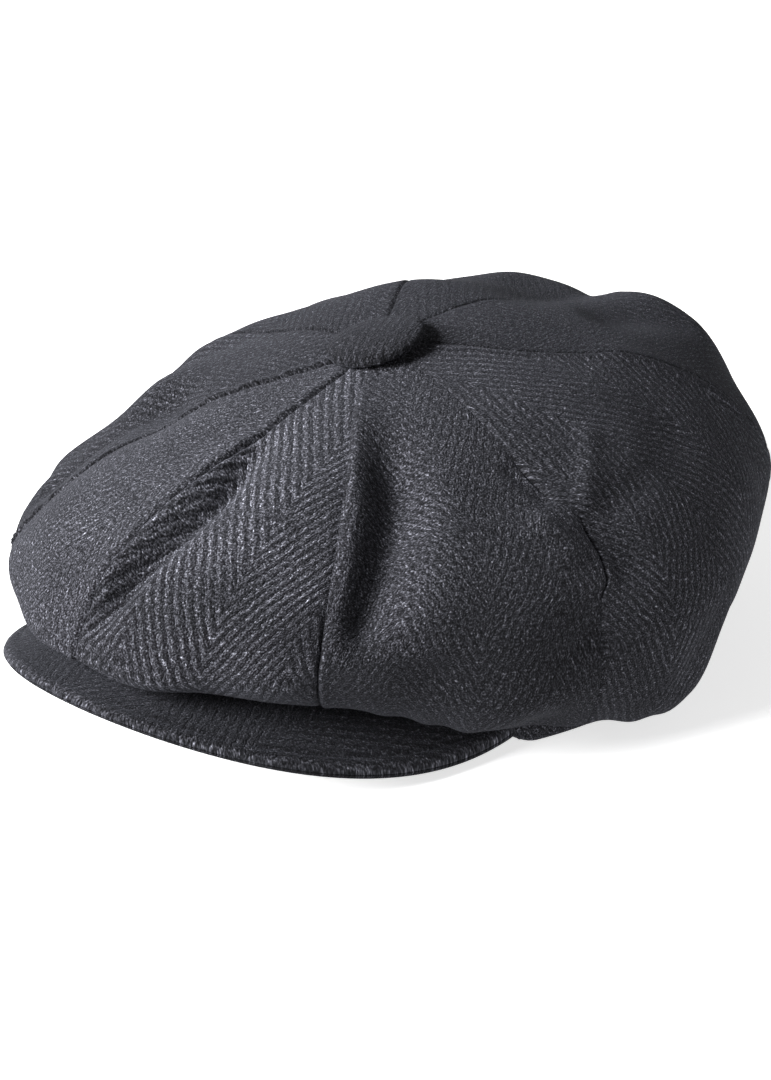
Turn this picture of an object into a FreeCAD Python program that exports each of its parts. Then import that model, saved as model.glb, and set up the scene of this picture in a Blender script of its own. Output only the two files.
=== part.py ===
"""Eight-panel newsboy cap: wool crown on a narrow band, satin lining, bent visor and covered button.

Frame: origin at the centre of the head opening, on the plane that the opening's lower edge lies in.
+Z is up, -Y is the wearer's front and +X is the wearer's left. Lengths are in millimetres.

The crown and the lining are gored domes. Each gore is one panel: a thin solid between an outer and an
inner surface. Azimuth 0 is the front and 90 the wearer's left.
"""
import FreeCAD, Part
import Sketcher
import math
import os

from FreeCAD import Placement, Rotation, Vector

# Name, value and meaning of each driving dimension.
DIMENSIONS = [
    # head opening and bands
    ("opening_half_width", 82.0, "half width of the head opening"),
    ("opening_half_length", 100.0, "half length of the head opening"),
    ("sweatband_thick", 1.2, "thickness of the sweatband"),
    ("stiffener_thick", 0.8, "thickness of the buckram strip"),
    ("band_thick", 1.6, "thickness of the outer wool band"),
    ("band_height", 30.0, "height of the band"),
    ("edge_step", 1.0, "how far the inner strips stay above the band's lower edge"),
    # visor
    ("visor_half_width", 81.5, "half width of the visor's oval outline"),
    ("visor_half_length", 103.0, "half length of the visor's oval outline"),
    ("visor_center_y", -56.5, "centre of the visor's oval outline"),
    ("visor_tip_y", -34.0, "where the visor ends at each side"),
    ("visor_bend_radius", 143.0, "radius of the bend of the visor's underside"),
    ("visor_lift", 1.6, "height of the visor's underside at its ends"),
    ("visor_thick", 4.2, "thickness of the finished visor"),
    ("visor_cloth", 1.0, "thickness of each visor cover"),
    ("visor_hem", 1.6, "how far the covers reach past the board's outer edge"),
    # crown and lining
    ("crown_height", 108.0, "height of the crown's top"),
    ("lining_height", 101.0, "height of the lining's top"),
    ("crown_top_y", -23.0, "where the panels meet"),
    ("crown_center_y", -10.0, "centre of the crown's widest line"),
    ("crown_top_slope", 0.25, "forward slope of the cloth under the button"),
    ("crown_thick", 1.8, "thickness of the wool with its seam allowance"),
    ("lining_thick", 0.6, "thickness of the satin"),
    ("panel_fullness", 2.0, "how far a panel bulges between its seams"),
    ("tip_share", 0.02, "share of the way to the widest line that is left open at the tips"),
    # button
    ("button_radius", 16.0, "radius of the covered button"),
    ("button_height", 5.4, "height of the covered button"),
    ("button_side", 1.8, "height of the button's upright edge"),
    ("button_cloth", 1.2, "thickness of the button's cloth"),
    ("button_tuck", 10.0, "radius of the hole that the tucked cloth leaves underneath"),
    ("shell_thick", 0.7, "thickness of the button's metal shell"),
    ("shank_radius", 1.6, "radius of the button's shank"),
    ("shank_drop", 5.0, "how far the shank reaches below the button"),
    ("washer_radius", 8.0, "radius of the washer inside the crown"),
    ("washer_drop", 3.6, "distance from the button's base down to the washer"),
    ("washer_thick", 0.8, "thickness of the washer"),
    ("button_lift", 0.6, "gap between the button's base and the panels' tips"),
]

# Dome shapes at the azimuths 0, 45, 90, 135 and 180 degrees, front to back.
STATIONS = ["front", "front_quarter", "side", "back_quarter", "back"]
PROFILES = {
    "crown_reach": [143.0, 120.0, 112.5, 117.0, 128.0],
    "crown_widest": [39.0, 50.0, 43.0, 53.0, 63.0],
    "crown_rim": [32.6, 20.0, 4.0, 3.0, 3.0],
    "lining_reach": [112.0, 103.0, 97.0, 103.0, 112.0],
    "lining_widest": [68.0, 62.0, 52.0, 55.0, 58.0],
    "lining_rim": [57.6, 45.0, 31.6, 30.6, 30.6],
    # Superellipse exponents: 2 is round, more is boxier, less is more pointed.
    "top_spread": [1.85, 1.9, 2.1, 2.5, 2.7],
    "top_fall": [1.65, 1.25, 1.65, 1.95, 2.4],
    "turn_under": [2.4, 2.1, 2.8, 1.85, 2.3],
}

# Azimuths of the seams on one side, from the centre front to the centre back.
SEAMS = {
    "seam_centre_front": 0.0,
    "seam_front": 33.0,
    "seam_side": 85.0,
    "seam_back": 141.0,
    "seam_centre_back": 180.0,
}
PANELS = ["front", "front_side", "back_side", "back"]

ACROSS_STEPS = 8        # spans across a panel
UPPER_STEPS = 14        # spans from the tip to the widest line
LOWER_STEPS = 10        # spans from the widest line to the rim
NUDGE = 1e-3            # step for the surface normals, in degrees and in shares of the way down
REACH = 260.0           # longer and wider than the cap, for the solids that cut or keep a region

document = FreeCAD.newDocument("NewsboyCap")
sheet = document.addObject("Spreadsheet::Sheet", "Dimensions")
names = []
subparts = []


# ---------------------------------------------------------------- sheet

def fill_sheet():
    rows = list(DIMENSIONS)
    for profile, values in PROFILES.items():
        rows += [(profile + "_" + station, value, "dome profile") for station, value in zip(STATIONS, values)]
    rows += [(name, value, "seam azimuth in degrees") for name, value in SEAMS.items()]
    for number, (name, value, meaning) in enumerate(rows, start=1):
        sheet.set("A%d" % number, name)
        sheet.set("B%d" % number, str(value))
        sheet.set("C%d" % number, meaning)
        sheet.setAlias("B%d" % number, name)
        names.append(name)
    names.sort(key=len, reverse=True)
    document.recompute()


def size(name):
    """One cell's value, for a shape that is worked out point by point."""
    return float(sheet.get(name))


def stations(profile):
    return [size(profile + "_" + station) for station in STATIONS]


def cells(expression):
    """Put the sheet's name before each cell in an expression."""
    for number, name in enumerate(names):
        expression = expression.replace(name, "<%d>" % number)
    for number, name in enumerate(names):
        expression = expression.replace("<%d>" % number, "Dimensions." + name)
    return expression


def bind(target, **expressions):
    """Bind properties to the sheet, as in bind(pad, Length="band_height + 2")."""
    for prop, expression in expressions.items():
        target.setExpression(prop, cells(expression))


def keep(piece, label):
    """Name a finished sub-part. Its label is its file's name."""
    piece.Label = label
    subparts.append(piece)


# ---------------------------------------------------------------- sketches, pads and booleans

def new_body(name):
    return document.addObject("PartDesign::Body", name)


def new_sketch(body, name, role="XY_Plane"):
    sketch = body.newObject("Sketcher::SketchObject", name)
    plane = next(feature for feature in body.Origin.OriginFeatures if feature.Role == role)
    sketch.AttachmentSupport = [(plane, "")]
    sketch.MapMode = "FlatFace"
    return sketch


def constrain(sketch, kind, *where, value=None):
    """Add one constraint. A value is an expression of the sheet's cells."""
    if value is None:
        sketch.addConstraint(Sketcher.Constraint(kind, *where))
        return
    number = sketch.addConstraint(Sketcher.Constraint(kind, *where, value_of(value)))
    sketch.setExpression("Constraints[%d]" % number, cells(value))


def value_of(expression):
    """An expression's value now, so that a sketch is drawn close to its final size."""
    return float(sheet.evalExpression(cells(expression)))


def oval(sketch, half_width, half_length, back=None):
    """An ellipse with its long axis along Y. Its centre is `back` from the origin, towards -Y."""
    center = Vector(0, 0 if back is None else -value_of(back), 0)
    ends = center + Vector(0, value_of(half_length), 0), center + Vector(value_of(half_width), 0, 0)
    curve = sketch.addGeometry(Part.Ellipse(*ends, center))
    sketch.exposeInternalGeometry(curve)
    long_axis, short_axis = curve + 1, curve + 2
    if back is None:
        constrain(sketch, "Coincident", curve, 3, -1, 1)
    else:
        constrain(sketch, "PointOnObject", curve, 3, -2)
        constrain(sketch, "DistanceY", curve, 3, -1, 1, value=back)
    constrain(sketch, "Vertical", long_axis)
    constrain(sketch, "Distance", long_axis, value="2 * (%s)" % half_length)
    constrain(sketch, "Distance", short_axis, value="2 * (%s)" % half_width)


def rectangle(sketch, left, low, right, high):
    """A box of four lines. Each side is given by its distance from the sketch's axes, outwards."""
    west, south, east, north = -value_of(left), -value_of(low), value_of(right), value_of(high)
    corners = [Vector(west, south), Vector(east, south), Vector(east, north), Vector(west, north)]
    lines = [sketch.addGeometry(Part.LineSegment(corners[i], corners[(i + 1) % 4])) for i in range(4)]
    for i in range(4):
        constrain(sketch, "Coincident", lines[i], 2, lines[(i + 1) % 4], 1)
    for i, kind in enumerate(("Horizontal", "Vertical", "Horizontal", "Vertical")):
        constrain(sketch, kind, lines[i])
    constrain(sketch, "DistanceX", lines[0], 1, -1, 1, value=left)
    constrain(sketch, "DistanceX", -1, 1, lines[0], 2, value=right)
    constrain(sketch, "DistanceY", lines[0], 1, -1, 1, value=low)
    constrain(sketch, "DistanceY", -1, 1, lines[2], 1, value=high)


def pad(body, sketch, name, length):
    feature = body.newObject("PartDesign::Pad", name)
    feature.Profile = sketch
    bind(feature, Length=length)
    return feature


def pocket_through(body, sketch, name):
    feature = body.newObject("PartDesign::Pocket", name)
    feature.Profile = sketch
    feature.Type = 1
    feature.Midplane = True
    return feature


def boolean(kind, name, base, tool):
    result = document.addObject("Part::" + kind, name)
    result.Base = base
    result.Tool = tool
    return result


# ---------------------------------------------------------------- the visor's bend

BEND_AXIS_Z = "visor_lift - sqrt(visor_bend_radius ^ 2 - visor_half_width ^ 2)"


def bend_cylinder(name, thicker="0", higher="0"):
    """The round bar that the visor is bent over, from the visor's tips forward."""
    bar = document.addObject("Part::Cylinder", name)
    bar.Height = REACH
    bar.Placement = Placement(Vector(), Rotation(Vector(1, 0, 0), 90))
    bind(bar, Radius="visor_bend_radius + " + thicker)
    bar.setExpression(".Placement.Base.y", cells("visor_tip_y"))
    bar.setExpression(".Placement.Base.z", cells("%s + %s" % (BEND_AXIS_Z, higher)))
    return bar


# ---------------------------------------------------------------- bands

def band_zone(name, low, high):
    """Everything between two heights above the lower edge, which follows the visor's bend in front."""
    slab = document.addObject("Part::Box", name + "Slab")
    slab.Length = REACH
    slab.Width = REACH
    slab.Placement = Placement(Vector(-REACH / 2, -REACH / 2, 0), Rotation())
    bind(slab, Height="(%s) - (%s)" % (high, low))
    slab.setExpression(".Placement.Base.z", cells(low))
    above = boolean("Fuse", name + "Above", slab, bend_cylinder(name + "Top", higher=high))
    return boolean("Cut", name + "Zone", above, bend_cylinder(name + "Bottom", higher=low))


def make_band(name, label, inside, thick, low, high):
    """An oval strip round the head opening, `inside` away from the head and `thick` thick."""
    body = new_body(name)
    sketch = new_sketch(body, name + "Sketch")
    oval(sketch, "opening_half_width + " + inside, "opening_half_length + " + inside)
    oval(sketch, "opening_half_width + %s + %s" % (inside, thick),
         "opening_half_length + %s + %s" % (inside, thick))
    pad(body, sketch, name + "Pad", "3 * band_height")
    keep(boolean("Common", name + "Strip", body, band_zone(name, low, high)), label)


def make_bands():
    make_band("Sweatband", "sweatband", "0", "sweatband_thick", "edge_step", "band_height")
    make_band("Stiffener", "band_stiffener", "sweatband_thick", "stiffener_thick",
              "edge_step", "band_height - edge_step")
    make_band("HeadBand", "head_band", "sweatband_thick + stiffener_thick", "band_thick",
              "0", "band_height")


# ---------------------------------------------------------------- visor

BAND_OUTSIDE = "sweatband_thick + stiffener_thick + band_thick"


def visor_blank(name, trim):
    """The flat crescent, `trim` smaller along its outer edge, as a tall prism."""
    body = new_body(name)
    outline = new_sketch(body, name + "Outline")
    oval(outline, "visor_half_width - " + trim, "visor_half_length - " + trim, back="-visor_center_y")
    pad(body, outline, name + "Pad", "3 * band_height")
    head = new_sketch(body, name + "Head")
    oval(head, "opening_half_width + " + BAND_OUTSIDE, "opening_half_length + " + BAND_OUTSIDE)
    pocket_through(body, head, name + "HeadPocket")
    back = new_sketch(body, name + "Back")
    rectangle(back, "visor_half_length", "-visor_tip_y", "visor_half_length", "2 * visor_half_length")
    pocket_through(body, back, name + "BackPocket")
    return body


def bent_layer(name, low, high):
    """The bent sheet between two heights above the visor's underside."""
    outer = bend_cylinder(name + "Upper", thicker=high)
    inner = bend_cylinder(name + "Lower", thicker=low)
    return boolean("Cut", name + "Layer", outer, inner)


def visor_board(name):
    layer = bent_layer(name, "visor_cloth", "visor_thick - visor_cloth")
    return boolean("Common", name + "Bent", visor_blank(name, "visor_hem"), layer)


def make_visor():
    keep(visor_board("VisorBoard"), "visor_board")
    for name, label, low, high in (("VisorTop", "visor_top_cover", "visor_thick / 2", "visor_thick"),
                                   ("VisorUnder", "visor_under_cover", "0", "visor_thick / 2")):
        cloth = boolean("Common", name + "Bent", visor_blank(name, "0"), bent_layer(name, low, high))
        keep(boolean("Cut", name + "Cover", cloth, visor_board(name + "Board")), label)


# ---------------------------------------------------------------- crown and lining panels

def around(values, azimuth):
    """A smooth even curve of the azimuth through the five stations' values."""
    last = len(values) - 1
    total = 0.0
    for wave in range(last + 1):
        weight = sum(value * math.cos(math.pi * station * wave / last) * (0.5 if station in (0, last) else 1.0)
                     for station, value in enumerate(values))
        ends = 1.0 if wave in (0, last) else 2.0
        total += ends / last * weight * math.cos(wave * math.radians(azimuth))
    return total


class Dome:
    """A gored dome, from the tip (down = 0) over the widest line (1) to the rim (2)."""

    def __init__(self, kind, height, rim_offset):
        self.height = size(height)
        self.rim_offset = rim_offset
        self.reach = stations(kind + "_reach")
        self.widest = stations(kind + "_widest")
        self.rim = stations(kind + "_rim")
        self.spread = stations("top_spread")
        self.fall = stations("top_fall")
        self.under = stations("turn_under")

    def point(self, azimuth, down):
        side, front = math.sin(math.radians(azimuth)), -math.cos(math.radians(azimuth))
        reach = around(self.reach, azimuth)
        widest = Vector(reach * side, size("crown_center_y") + reach * front, around(self.widest, azimuth))
        if down <= 1:
            top = Vector(0, size("crown_top_y"), self.height)
            out = math.sin(down * math.pi / 2)
            drop = (1 - out ** around(self.spread, azimuth)) ** (1 / around(self.fall, azimuth))
            place = top + (widest - top) * out
            place.z = widest.z + (self.height - widest.z) * drop
            place.z += size("crown_top_slope") * (place.y - top.y) * (1 - out) ** 2
            return place
        rim = Vector((size("opening_half_width") + self.rim_offset) * side,
                     (size("opening_half_length") + self.rim_offset) * front, around(self.rim, azimuth))
        out = max(0.0, math.cos((down - 1) * math.pi / 2))
        power = around(self.under, azimuth)
        place = rim + (widest - rim) * out
        place.z = widest.z - (widest.z - rim.z) * (1 - out ** power) ** (1 / power)
        return place

    def normal(self, azimuth, down):
        low, high = max(down - NUDGE, NUDGE), min(down + NUDGE, 2 - NUDGE / 10)
        along = self.point(azimuth, high) - self.point(azimuth, low)
        across = self.point(azimuth + NUDGE, down) - self.point(azimuth - NUDGE, down)
        return along.cross(across).normalize()

    def panel_point(self, seams, share, down, depth):
        """A point at `share` of the way across the panel, `depth` inside its outer surface."""
        azimuth = seams[0] + (seams[1] - seams[0]) * share
        fullness = size("panel_fullness") * 4 * share * (1 - share) * math.sin(math.pi * down / 2)
        return self.point(azimuth, down) + self.normal(azimuth, down) * (fullness - depth)


def untwisted(outer, inner):
    """The ruled face between two edges. The edges' directions are matched by taking the smaller face."""
    faces = [Part.makeRuledSurface(outer, inner), Part.makeRuledSurface(outer, inner.reversed())]
    return min(faces, key=lambda face: face.Area)


def panel_solid(dome, seams, thick):
    tip = size("tip_share")
    downs = [tip + (1 - tip) * step / UPPER_STEPS for step in range(UPPER_STEPS)]
    downs += [1 + step / LOWER_STEPS for step in range(LOWER_STEPS + 1)]
    surfaces = []
    for depth in (0.0, thick):
        grid = [[dome.panel_point(seams, step / ACROSS_STEPS, down, depth) for down in downs]
                for step in range(ACROSS_STEPS + 1)]
        surface = Part.BSplineSurface()
        surface.interpolate(grid)
        surfaces.append(surface)
    faces = [surface.toShape() for surface in surfaces]
    bounds = surfaces[0].bounds()
    for along, value in (("uIso", bounds[0]), ("uIso", bounds[1]), ("vIso", bounds[2]), ("vIso", bounds[3])):
        outer, inner = [getattr(surface, along)(value).toShape() for surface in surfaces]
        faces.append(untwisted(outer, inner))
    shell = Part.makeShell(faces)
    shell.sewShape()
    solid = Part.makeSolid(shell)
    if solid.Volume < 0:
        solid.reverse()
    return solid


def make_panels(kind, dome, thick):
    angles = [size(name) for name in SEAMS]
    for side, sign in (("left", 1), ("right", -1)):
        for number, panel in enumerate(PANELS):
            seams = (sign * angles[number], sign * angles[number + 1])
            piece = document.addObject("Part::Feature", "%s_%s_%s" % (kind, panel, side))
            piece.Shape = panel_solid(dome, seams, thick)
            piece.Placement = Placement()
            keep(piece, "%s_%s_%s" % (kind, panel, side))


def make_crown_and_lining():
    inner_strips = size("sweatband_thick") + size("stiffener_thick")
    crown = Dome("crown", "crown_height", inner_strips + size("band_thick"))
    make_panels("crown", crown, size("crown_thick"))
    lining = Dome("lining", "lining_height", inner_strips)
    make_panels("lining", lining, size("lining_thick"))


# ---------------------------------------------------------------- button

def dome_sketch(body, name, radius, base, side, top):
    """Half of a dome's section on the XZ plane: flat base, upright edge, one arc over the top."""
    sketch = new_sketch(body, name, "XZ_Plane")
    out, low, shoulder, crest = value_of(radius), value_of(base), value_of(side), value_of(top)
    corners = [Vector(0, low), Vector(out, low), Vector(out, shoulder), Vector(0, crest)]
    halfway = Vector(out / 2, shoulder + (crest - shoulder) * 3 / 4)
    floor = sketch.addGeometry(Part.LineSegment(corners[0], corners[1]))
    edge = sketch.addGeometry(Part.LineSegment(corners[1], corners[2]))
    arc = sketch.addGeometry(Part.Arc(corners[2], halfway, corners[3]))
    axis = sketch.addGeometry(Part.LineSegment(corners[3], corners[0]))
    constrain(sketch, "Coincident", floor, 2, edge, 1)
    constrain(sketch, "Coincident", edge, 2, arc, 1)
    constrain(sketch, "Coincident", arc, 2, axis, 1)
    constrain(sketch, "Coincident", axis, 2, floor, 1)
    constrain(sketch, "Horizontal", floor)
    constrain(sketch, "Vertical", edge)
    constrain(sketch, "PointOnObject", axis, 1, -2)
    constrain(sketch, "PointOnObject", axis, 2, -2)
    constrain(sketch, "PointOnObject", arc, 3, -2)
    constrain(sketch, "DistanceX", -1, 1, floor, 2, value=radius)
    constrain(sketch, "DistanceY", -1, 1, floor, 2, value=base)
    constrain(sketch, "DistanceY", -1, 1, edge, 2, value=side)
    constrain(sketch, "DistanceY", -1, 1, axis, 1, value=top)
    return sketch


def turned(body, kind, sketch, name):
    """A revolution or groove of a sketch about its vertical axis."""
    feature = body.newObject("PartDesign::" + kind, name)
    feature.Profile = sketch
    feature.ReferenceAxis = (sketch, ["V_Axis"])
    feature.Angle = 360
    return feature


def round_sketch(body, name, radius):
    sketch = new_sketch(body, name)
    circle = sketch.addGeometry(Part.Circle(Vector(), Vector(0, 0, 1), value_of(radius)))
    constrain(sketch, "Coincident", circle, 3, -1, 1)
    constrain(sketch, "Radius", circle, value=radius)
    return sketch


def disc_sketch(body, name, radius, height):
    """A round sketch at a height along the button's axis."""
    sketch = round_sketch(body, name, radius)
    sketch.setExpression(".AttachmentOffset.Base.z", cells(height))
    return sketch


def seat(body):
    """Set a piece of the button on the crown's top, square to the sloping cloth."""
    tilt = math.degrees(math.atan(size("crown_top_slope")))
    body.Placement = Placement(Vector(), Rotation(Vector(1, 0, 0), tilt))
    body.setExpression(".Placement.Base.y", cells("crown_top_y"))
    body.setExpression(".Placement.Base.z", cells("crown_height + button_lift"))


def make_button_cover():
    body = new_body("ButtonCover")
    outside = dome_sketch(body, "CoverOutside", "button_radius", "0", "button_side", "button_height")
    turned(body, "Revolution", outside, "CoverTurned")
    inside = dome_sketch(body, "CoverInside", "button_radius - button_cloth", "button_cloth",
                         "button_side", "button_height - button_cloth")
    turned(body, "Groove", inside, "CoverHollow")
    tuck = body.newObject("PartDesign::Pocket", "CoverTuckPocket")
    tuck.Profile = round_sketch(body, "CoverTuck", "button_tuck")
    tuck.Midplane = True
    bind(tuck, Length="2 * button_cloth")
    return body


def make_button_shell():
    body = new_body("ButtonShell")
    outside = dome_sketch(body, "ShellOutside", "button_radius - button_cloth", "button_cloth",
                          "button_side", "button_height - button_cloth")
    turned(body, "Revolution", outside, "ShellTurned")
    inside = dome_sketch(body, "ShellInside", "button_radius - button_cloth - shell_thick", "button_cloth",
                         "button_side", "button_height - button_cloth - shell_thick")
    turned(body, "Groove", inside, "ShellHollow")
    shank = disc_sketch(body, "ShankSketch", "shank_radius", "-shank_drop")
    pad(body, shank, "Shank", "shank_drop + button_height - button_cloth - shell_thick / 2")
    return body


def make_button_washer():
    body = new_body("ButtonWasher")
    plate = disc_sketch(body, "WasherSketch", "washer_radius", "-washer_drop - washer_thick")
    pad(body, plate, "WasherPad", "washer_thick")
    pocket_through(body, round_sketch(body, "WasherHole", "shank_radius"), "WasherHolePocket")
    return body


def make_button():
    for make, label in ((make_button_cover, "button_cover"), (make_button_shell, "button_shell"),
                        (make_button_washer, "button_washer")):
        body = make()
        seat(body)
        keep(body, label)


# ---------------------------------------------------------------- build, check and write

def check():
    """Stop if any object failed or any sub-part is empty, invalid or more than one solid."""
    failed = [item.Name for item in document.Objects if "Invalid" in item.State or "Error" in item.State]
    if failed:
        raise RuntimeError("failed objects: " + ", ".join(failed))
    for piece in subparts:
        shape = piece.Shape
        if shape.isNull() or not shape.isValid() or len(shape.Solids) != 1 or shape.Volume <= 0:
            raise RuntimeError("%s is not one valid solid" % piece.Label)


def write():
    os.makedirs("parts", exist_ok=True)
    for piece in subparts:
        piece.Shape.exportStep("parts/%s.step" % piece.Label)
        box = piece.Shape.BoundBox
        print("%-26s %9.0f mm3  x %6.1f %6.1f  y %6.1f %6.1f  z %6.1f %6.1f"
              % (piece.Label, piece.Shape.Volume, box.XMin, box.XMax, box.YMin, box.YMax, box.ZMin, box.ZMax))


fill_sheet()
make_bands()
make_visor()
make_crown_and_lining()
make_button()
document.recompute()
check()
write()
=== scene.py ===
"""Looks of the eight-panel newsboy cap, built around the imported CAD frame.

Every cloth piece is a mesh of its own that replaces its CAD node: panels that meet in sewn seams and carry
the folds of a soft crown, lining gores, bands, visor covers and the button's cover. So is the button's metal
shell. The stiffener, the visor board and the washer keep their CAD shape and get materials.
Lengths in the tables are in millimetres, angles in degrees. Azimuth 0 is the front and 90 the wearer's left.
"""

import math

import bpy
import numpy as np
from mathutils import Matrix, Vector


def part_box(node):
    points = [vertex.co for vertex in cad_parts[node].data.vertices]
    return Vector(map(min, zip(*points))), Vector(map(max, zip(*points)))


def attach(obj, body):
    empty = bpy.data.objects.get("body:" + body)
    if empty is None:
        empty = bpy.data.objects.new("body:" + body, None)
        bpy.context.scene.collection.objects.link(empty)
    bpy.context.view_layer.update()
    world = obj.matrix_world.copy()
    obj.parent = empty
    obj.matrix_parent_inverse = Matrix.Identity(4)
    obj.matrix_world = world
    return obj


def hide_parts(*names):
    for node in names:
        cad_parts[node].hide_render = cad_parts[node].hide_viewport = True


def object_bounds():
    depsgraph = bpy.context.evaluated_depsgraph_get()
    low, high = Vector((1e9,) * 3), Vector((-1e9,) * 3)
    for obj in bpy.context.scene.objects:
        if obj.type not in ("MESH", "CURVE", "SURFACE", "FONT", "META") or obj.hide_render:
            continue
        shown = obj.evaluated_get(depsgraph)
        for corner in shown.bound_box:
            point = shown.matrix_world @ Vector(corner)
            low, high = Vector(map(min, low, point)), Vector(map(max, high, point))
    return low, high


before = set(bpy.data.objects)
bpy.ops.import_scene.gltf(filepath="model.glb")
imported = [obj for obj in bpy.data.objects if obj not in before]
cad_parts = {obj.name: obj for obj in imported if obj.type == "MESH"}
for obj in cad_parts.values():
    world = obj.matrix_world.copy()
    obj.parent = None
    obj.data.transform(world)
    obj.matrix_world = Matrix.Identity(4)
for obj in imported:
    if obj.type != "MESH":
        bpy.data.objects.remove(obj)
CAD_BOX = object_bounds()
MM = 0.001

# ---------------------------------------------------------------- driving sizes

# Outlines are the CAD's. Cloth is a little thinner, so that each piece stays clear of its neighbours, and the
# panels are a little fuller and the button leans a little to the right.
OPENING = (82.0, 100.0)          # half width and half length of the head opening
SWEATBAND_THICK, STIFFENER_THICK, BAND_THICK = 1.2, 0.8, 1.6
BAND_OUTSIDE = SWEATBAND_THICK + STIFFENER_THICK + BAND_THICK
BAND_HEIGHT, EDGE_STEP = 30.0, 1.0
STITCH_DENT = 0.28               # how deep a sewn line sinks into the sweatband

TOP_Y, CENTER_Y = -23.0, -10.0   # where the panels meet, and the centre of the widest line
TOP_SLOPE = 0.25                 # forward slope of the cloth under the button
TIP_SHARE = 0.02                 # share of the way down that is left open at the tips
FULLNESS, SEAM_PULL = 2.4, 1.4   # how far a panel bulges between its seams, and how far these pull it in
SEAM_DEPTH = 1.5                 # the depth that the lining leaves free for the groove along a seam
WOOL_THICK, SATIN_THICK, LINING_GAP = 1.5, 0.5, 0.8
PROFILES = {                     # at azimuths 0, 45, 90, 135 and 180
    "spread": (1.85, 1.9, 2.1, 2.5, 2.7),
    "fall": (1.65, 1.25, 1.65, 1.95, 2.4),
    "under": (2.4, 2.1, 2.8, 1.85, 2.3),
}
CROWN = dict(PROFILES, height=108.0, rim_offset=BAND_OUTSIDE, reach=(143.0, 120.0, 112.5, 117.0, 128.0),
             widest=(39.0, 50.0, 43.0, 53.0, 63.0), rim=(32.6, 20.0, 4.0, 3.0, 3.0))
LINING = dict(PROFILES, height=101.0, rim_offset=BAND_OUTSIDE - BAND_THICK,
              reach=(112.0, 103.0, 97.0, 103.0, 112.0), widest=(68.0, 62.0, 52.0, 55.0, 58.0),
              rim=(57.6, 45.0, 31.6, 30.6, 30.6))

VISOR_HALF_WIDTH, VISOR_HALF_LENGTH = 81.5, 103.0
VISOR_CENTER_Y, VISOR_TIP_Y = -56.5, -34.0
VISOR_BEND, VISOR_LIFT, VISOR_THICK, COVER_THICK = 143.0, 1.6, 4.2, 0.9
VISOR_EDGE_ROUND = 3.4           # how far in the covers round down to the visor's edge
TOPSTITCH_IN, TOPSTITCH_DEPTH = 5.5, 0.35

BUTTON_RADIUS, BUTTON_HEIGHT, BUTTON_SIDE = 16.0, 5.4, 1.8
BUTTON_LIFT, BUTTON_CLOTH, BUTTON_TUCK = 0.6, 1.1, 10.0
BUTTON_LEAN, BUTTON_LEAN_AZIMUTH = 16.0, -38.0    # the button leans this far, this way
SHANK_RADIUS, SHANK_DROP, SHELL_THICK = 1.6, 5.0, 0.7
WELD_DISTANCE = 0.00005          # in metres: closes the poles of turned shapes

# ---------------------------------------------------------------- seams, folds and swellings of the crown

# Each seam wanders a little from its CAD azimuth: (share of the way down, azimuth).
SEAMS = {
    "centre_front": ((0.0, 3), (0.15, 4), (0.35, 2.5), (0.6, 1.5), (0.85, 0), (2.0, 0)),
    "front_left": ((0.0, 28), (0.2, 31), (0.4, 34), (1.0, 34), (2.0, 33)),
    "side_left": ((0.0, 84), (0.3, 79), (0.5, 81), (0.58, 85), (0.75, 84), (0.95, 80), (2.0, 81)),
    "back_left": ((0.0, 128), (0.2, 130), (0.35, 137), (0.5, 142), (0.85, 144), (2.0, 141)),
    "centre_back": ((0.0, 181), (0.3, 178), (0.7, 181), (1.2, 180), (2.0, 180)),
    "back_right": ((0.0, 222), (0.3, 218), (0.6, 221), (1.0, 219), (2.0, 219)),
    "side_right": ((0.0, 274), (0.3, 276), (0.6, 273), (0.9, 275), (2.0, 275)),
    "front_right": ((0.0, 336), (0.2, 334), (0.35, 331), (0.6, 332), (0.9, 330), (2.0, 328)),
}
# Each seam's shape: height of the lip before and after it, its pucker, and the depth of its groove down its
# length, as (share of the way down, depth).
SEAM_SHAPES = {
    "centre_front": (0.5, 0.1, 0.22, ((0.0, 0.7), (0.35, 0.7), (0.5, 0.2), (0.7, 0.2), (0.8, 0.6),
                                      (0.9, 0.4), (2.0, 0.4))),
    "front_left": (0.0, 0.4, 0.04, ((0.0, 0.1), (0.7, 0.1), (0.85, 1.2), (1.2, 1.0), (2.0, 0.5))),
    "side_left": (0.1, 0.2, 0.06, ((0.0, 0.1), (0.38, 0.1), (0.46, 0.8), (0.57, 0.1), (0.62, 0.8),
                                   (0.74, 0.8), (0.84, 0.1), (2.0, 0.2))),
    "back_left": (0.5, 0.0, 0.06, ((0.0, 0.2), (0.2, 0.4), (2.0, 0.5))),
    "centre_back": (0.3, 0.1, 0.10, ((0.0, 0.2), (0.3, 0.5), (2.0, 0.6))),
    "back_right": (0.1, 0.3, 0.10, ((0.0, 0.2), (0.3, 0.5), (2.0, 0.6))),
    "side_right": (0.2, 0.3, 0.08, ((0.0, 0.2), (0.4, 0.8), (2.0, 0.6))),
    "front_right": (0.8, 0.1, 0.34, ((0.0, 0.9), (0.6, 0.8), (2.0, 0.6))),
}
# Panels in order round the crown, each between a seam and the next.
PANELS = (
    ("front_left", "centre_front", "front_left"),
    ("front_side_left", "front_left", "side_left"),
    ("back_side_left", "side_left", "back_left"),
    ("back_left", "back_left", "centre_back"),
    ("back_right", "centre_back", "back_right"),
    ("back_side_right", "back_right", "side_right"),
    ("front_side_right", "side_right", "front_right"),
    ("front_right", "front_right", "centre_front"),
)
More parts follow.
